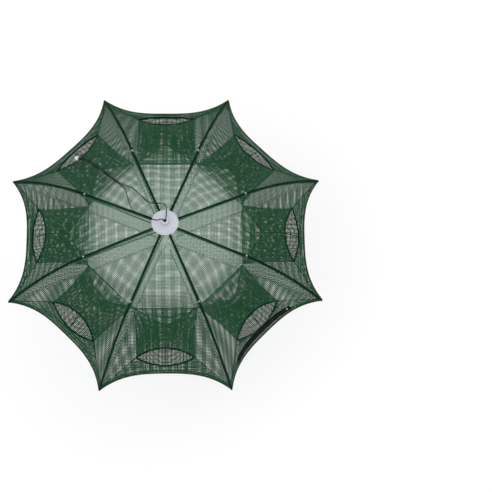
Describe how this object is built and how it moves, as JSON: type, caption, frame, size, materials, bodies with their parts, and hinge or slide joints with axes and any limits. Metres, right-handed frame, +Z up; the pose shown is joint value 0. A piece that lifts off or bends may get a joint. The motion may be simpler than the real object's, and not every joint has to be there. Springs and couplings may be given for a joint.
{
  "type": "folding crab trap",
  "caption": "Umbrella-style folding net trap: hinged ribs under a net canopy with slit entrances, a net floor, a hub with a sliding runner and a pull cord.",
  "frame": {"origin": "on the ground under the hub, at the middle of the open trap's footprint", "axes": "+Z up along the hub's axis; +X through the middle of the first net panel"},
  "size_m": [0.8624, 0.8624, 0.163],
  "materials": {
    "hub_plastic": "satin, slightly chalky",
    "dark_plastic": "satin",
    "ring_wire": "drawn wire",
    "rib_tube": "satin paint",
    "rib_rod": "satin paint",
    "stretcher_bar": "satin paint",
    "net": "knotless net",
    "funnel_net": "close knotless net",
    "closure_strip": "woven tape",
    "pull_cord": "braided cord",
    "bead": "moulded"
  },
  "bodies": {
    "hub": {"crown": "dark_plastic", "crown_plate": "dark_plastic", "crown_ring": "ring_wire", "top_disc": "hub_plastic", "top_boss": "hub_plastic"},
    "rib_1": {"rib_1": "rib_tube", "rod_1": "rib_rod"},
    "rib_2": {"rib_2": "rib_tube", "rod_2": "rib_rod"},
    "rib_3": {"rib_3": "rib_tube", "rod_3": "rib_rod"},
    "rib_4": {"rib_4": "rib_tube", "rod_4": "rib_rod"},
    "rib_5": {"rib_5": "rib_tube", "rod_5": "rib_rod"},
    "rib_6": {"rib_6": "rib_tube", "rod_6": "rib_rod"},
    "rib_7": {"rib_7": "rib_tube", "rod_7": "rib_rod"},
    "rib_8": {"rib_8": "rib_tube", "rod_8": "rib_rod"},
    "stretcher_1": {"stretcher_1": "stretcher_bar"},
    "stretcher_2": {"stretcher_2": "stretcher_bar"},
    "stretcher_3": {"stretcher_3": "stretcher_bar"},
    "stretcher_4": {"stretcher_4": "stretcher_bar"},
    "stretcher_5": {"stretcher_5": "stretcher_bar"},
    "stretcher_6": {"stretcher_6": "stretcher_bar"},
    "stretcher_7": {"stretcher_7": "stretcher_bar"},
    "stretcher_8": {"stretcher_8": "stretcher_bar"},
    "panel_1": {"canopy_1": "net", "funnel_1": "funnel_net"},
    "panel_2": {"canopy_2": "net", "funnel_2": "funnel_net"},
    "panel_3": {"canopy_3": "net", "funnel_3": "funnel_net"},
    "panel_4": {"canopy_4": "net", "funnel_4": "funnel_net", "pull_cord_left": "pull_cord", "pull_cord_right": "pull_cord", "cord_bead": "bead"},
    "panel_5": {"canopy_5": "net", "funnel_5": "funnel_net"},
    "panel_6": {"canopy_6": "net", "funnel_6": "funnel_net"},
    "panel_7": {"canopy_7": "net", "funnel_7": "funnel_net"},
    "panel_8": {"canopy_8": "net", "funnel_8": "funnel_net", "closure_strip": "closure_strip"},
    "floor_1": {"floor_1": "net"},
    "floor_2": {"floor_2": "net"},
    "floor_3": {"floor_3": "net"},
    "floor_4": {"floor_4": "net"},
    "floor_5": {"floor_5": "net"},
    "floor_6": {"floor_6": "net"},
    "floor_7": {"floor_7": "net"},
    "floor_8": {"floor_8": "net"},
    "runner": {"runner": "dark_plastic"}
  },
  "joints": [
    {"name": "rib_1_fold", "type": "hinge", "parent": "hub", "child": "rib_1", "pos_m": [0.01155, 0.00478, 0.131], "axis": [-0.3827, 0.9239, 0], "range_deg": [0, 63]},
    {"name": "rib_2_fold", "type": "hinge", "parent": "hub", "child": "rib_2", "pos_m": [0.00478, 0.01155, 0.131], "axis": [-0.9239, 0.3827, 0], "range_deg": [0, 63]},
    {"name": "rib_3_fold", "type": "hinge", "parent": "hub", "child": "rib_3", "pos_m": [-0.00478, 0.01155, 0.131], "axis": [-0.9239, -0.3827, 0], "range_deg": [0, 63]},
    {"name": "rib_4_fold", "type": "hinge", "parent": "hub", "child": "rib_4", "pos_m": [-0.01155, 0.00478, 0.131], "axis": [-0.3827, -0.9239, 0], "range_deg": [0, 63]},
    {"name": "rib_5_fold", "type": "hinge", "parent": "hub", "child": "rib_5", "pos_m": [-0.01155, -0.00478, 0.131], "axis": [0.3827, -0.9239, 0], "range_deg": [0, 63]},
    {"name": "rib_6_fold", "type": "hinge", "parent": "hub", "child": "rib_6", "pos_m": [-0.00478, -0.01155, 0.131], "axis": [0.9239, -0.3827, 0], "range_deg": [0, 63]},
    {"name": "rib_7_fold", "type": "hinge", "parent": "hub", "child": "rib_7", "pos_m": [0.00478, -0.01155, 0.131], "axis": [0.9239, 0.3827, 0], "range_deg": [0, 63]},
    {"name": "rib_8_fold", "type": "hinge", "parent": "hub", "child": "rib_8", "pos_m": [0.01155, -0.00478, 0.131], "axis": [0.3827, 0.9239, 0], "range_deg": [0, 63]},
    {"name": "stretcher_1_swing", "type": "hinge", "parent": "rib_1", "child": "stretcher_1", "pos_m": [0.22006, 0.09115, 0.11917], "axis": [0.3827, -0.9239, 0], "range_deg": [0, 126]},
    {"name": "stretcher_2_swing", "type": "hinge", "parent": "rib_2", "child": "stretcher_2", "pos_m": [0.09115, 0.22006, 0.11917], "axis": [0.9239, -0.3827, 0], "range_deg": [0, 126]},
    {"name": "stretcher_3_swing", "type": "hinge", "parent": "rib_3", "child": "stretcher_3", "pos_m": [-0.09115, 0.22006, 0.11917], "axis": [0.9239, 0.3827, 0], "range_deg": [0, 126]},
    {"name": "stretcher_4_swing", "type": "hinge", "parent": "rib_4", "child": "stretcher_4", "pos_m": [-0.22006, 0.09115, 0.11917], "axis": [0.3827, 0.9239, 0], "range_deg": [0, 126]},
    {"name": "stretcher_5_swing", "type": "hinge", "parent": "rib_5", "child": "stretcher_5", "pos_m": [-0.22006, -0.09115, 0.11917], "axis": [-0.3827, 0.9239, 0], "range_deg": [0, 126]},
    {"name": "stretcher_6_swing", "type": "hinge", "parent": "rib_6", "child": "stretcher_6", "pos_m": [-0.09115, -0.22006, 0.11917], "axis": [-0.9239, 0.3827, 0], "range_deg": [0, 126]},
    {"name": "stretcher_7_swing", "type": "hinge", "parent": "rib_7", "child": "stretcher_7", "pos_m": [0.09115, -0.22006, 0.11917], "axis": [-0.9239, -0.3827, 0], "range_deg": [0, 126]},
    {"name": "stretcher_8_swing", "type": "hinge", "parent": "rib_8", "child": "stretcher_8", "pos_m": [0.22006, -0.09115, 0.11917], "axis": [-0.3827, -0.9239, 0], "range_deg": [0, 126]},
    {"name": "panel_1_fold", "type": "hinge", "parent": "hub", "child": "panel_1", "pos_m": [0.0125, 0, 0.131], "axis": [0, 1, 0], "range_deg": [0, 63], "deforming": ["canopy_1", "funnel_1"]},
    {"name": "panel_2_fold", "type": "hinge", "parent": "hub", "child": "panel_2", "pos_m": [0.00884, 0.00884, 0.131], "axis": [-0.7071, 0.7071, 0], "range_deg": [0, 63], "deforming": ["canopy_2", "funnel_2"]},
    {"name": "panel_3_fold", "type": "hinge", "parent": "hub", "child": "panel_3", "pos_m": [0, 0.0125, 0.131], "axis": [-1, 0, 0], "range_deg": [0, 63], "deforming": ["canopy_3", "funnel_3"]},
    {"name": "panel_4_fold", "type": "hinge", "parent": "hub", "child": "panel_4", "pos_m": [-0.00884, 0.00884, 0.131], "axis": [-0.7071, -0.7071, 0], "range_deg": [0, 63], "deforming": ["canopy_4", "funnel_4", "pull_cord_left", "pull_cord_right", "cord_bead"]},
    {"name": "panel_5_fold", "type": "hinge", "parent": "hub", "child": "panel_5", "pos_m": [-0.0125, 0, 0.131], "axis": [0, -1, 0], "range_deg": [0, 63], "deforming": ["canopy_5", "funnel_5"]},
    {"name": "panel_6_fold", "type": "hinge", "parent": "hub", "child": "panel_6", "pos_m": [-0.00884, -0.00884, 0.131], "axis": [0.7071, -0.7071, 0], "range_deg": [0, 63], "deforming": ["canopy_6", "funnel_6"]},
    {"name": "panel_7_fold", "type": "hinge", "parent": "hub", "child": "panel_7", "pos_m": [0, -0.0125, 0.131], "axis": [1, 0, 0], "range_deg": [0, 63], "deforming": ["canopy_7", "funnel_7"]},
    {"name": "panel_8_fold", "type": "hinge", "parent": "hub", "child": "panel_8", "pos_m": [0.00884, -0.00884, 0.131], "axis": [0.7071, 0.7071, 0], "range_deg": [0, 63], "deforming": ["canopy_8", "funnel_8", "closure_strip"]},
    {"name": "floor_1_drop", "type": "hinge", "parent": "panel_1", "child": "floor_1", "pos_m": [0.3786, 0, 0.0006], "axis": [0, -1, 0], "range_deg": [0, 143.51], "deforming": ["floor_1"]},
    {"name": "floor_2_drop", "type": "hinge", "parent": "panel_2", "child": "floor_2", "pos_m": [0.26771, 0.26771, 0.0006], "axis": [0.7071, -0.7071, 0], "range_deg": [0, 143.51], "deforming": ["floor_2"]},
    {"name": "floor_3_drop", "type": "hinge", "parent": "panel_3", "child": "floor_3", "pos_m": [0, 0.3786, 0.0006], "axis": [1, 0, 0], "range_deg": [0, 143.51], "deforming": ["floor_3"]},
    {"name": "floor_4_drop", "type": "hinge", "parent": "panel_4", "child": "floor_4", "pos_m": [-0.26771, 0.26771, 0.0006], "axis": [0.7071, 0.7071, 0], "range_deg": [0, 143.51], "deforming": ["floor_4"]},
    {"name": "floor_5_drop", "type": "hinge", "parent": "panel_5", "child": "floor_5", "pos_m": [-0.3786, 0, 0.0006], "axis": [0, 1, 0], "range_deg": [0, 143.51], "deforming": ["floor_5"]},
    {"name": "floor_6_drop", "type": "hinge", "parent": "panel_6", "child": "floor_6", "pos_m": [-0.26771, -0.26771, 0.0006], "axis": [-0.7071, 0.7071, 0], "range_deg": [0, 143.51], "deforming": ["floor_6"]},
    {"name": "floor_7_drop", "type": "hinge", "parent": "panel_7", "child": "floor_7", "pos_m": [0, -0.3786, 0.0006], "axis": [-1, 0, 0], "range_deg": [0, 143.51], "deforming": ["floor_7"]},
    {"name": "floor_8_drop", "type": "hinge", "parent": "panel_8", "child": "floor_8", "pos_m": [0.26771, -0.26771, 0.0006], "axis": [-0.7071, -0.7071, 0], "range_deg": [0, 143.51], "deforming": ["floor_8"]},
    {"name": "runner_slide", "type": "slide", "parent": "hub", "child": "runner", "axis": [0, 0, -1], "range_m": [0, 0.3893]}
  ],
  "couplings": [
    {"joint": "rib_2_fold", "follows": "rib_1_fold", "ratio": 1},
    {"joint": "rib_3_fold", "follows": "rib_1_fold", "ratio": 1},
    {"joint": "rib_4_fold", "follows": "rib_1_fold", "ratio": 1},
    {"joint": "rib_5_fold", "follows": "rib_1_fold", "ratio": 1},
    {"joint": "rib_6_fold", "follows": "rib_1_fold", "ratio": 1},
    {"joint": "rib_7_fold", "follows": "rib_1_fold", "ratio": 1},
    {"joint": "rib_8_fold", "follows": "rib_1_fold", "ratio": 1},
    {"joint": "stretcher_1_swing", "follows": "rib_1_fold", "ratio": 2},
    {"joint": "stretcher_2_swing", "follows": "rib_1_fold", "ratio": 2},
    {"joint": "stretcher_3_swing", "follows": "rib_1_fold", "ratio": 2},
    {"joint": "stretcher_4_swing", "follows": "rib_1_fold", "ratio": 2},
    {"joint": "stretcher_5_swing", "follows": "rib_1_fold", "ratio": 2},
    {"joint": "stretcher_6_swing", "follows": "rib_1_fold", "ratio": 2},
    {"joint": "stretcher_7_swing", "follows": "rib_1_fold", "ratio": 2},
    {"joint": "stretcher_8_swing", "follows": "rib_1_fold", "ratio": 2},
    {"joint": "panel_1_fold", "follows": "rib_1_fold", "ratio": 1},
    {"joint": "panel_2_fold", "follows": "rib_1_fold", "ratio": 1},
    {"joint": "panel_3_fold", "follows": "rib_1_fold", "ratio": 1},
    {"joint": "panel_4_fold", "follows": "rib_1_fold", "ratio": 1},
    {"joint": "panel_5_fold", "follows": "rib_1_fold", "ratio": 1},
    {"joint": "panel_6_fold", "follows": "rib_1_fold", "ratio": 1},
    {"joint": "panel_7_fold", "follows": "rib_1_fold", "ratio": 1},
    {"joint": "panel_8_fold", "follows": "rib_1_fold", "ratio": 1},
    {"joint": "floor_1_drop", "follows": "rib_1_fold", "ratio": 2.2778},
    {"joint": "floor_2_drop", "follows": "rib_1_fold", "ratio": 2.2778},
    {"joint": "floor_3_drop", "follows": "rib_1_fold", "ratio": 2.2778},
    {"joint": "floor_4_drop", "follows": "rib_1_fold", "ratio": 2.2778},
    {"joint": "floor_5_drop", "follows": "rib_1_fold", "ratio": 2.2778},
    {"joint": "floor_6_drop", "follows": "rib_1_fold", "ratio": 2.2778},
    {"joint": "floor_7_drop", "follows": "rib_1_fold", "ratio": 2.2778},
    {"joint": "floor_8_drop", "follows": "rib_1_fold", "ratio": 2.2778},
    {"joint": "runner_slide", "follows": "rib_1_fold", "m_per_rad": 0.35402}
  ]
}
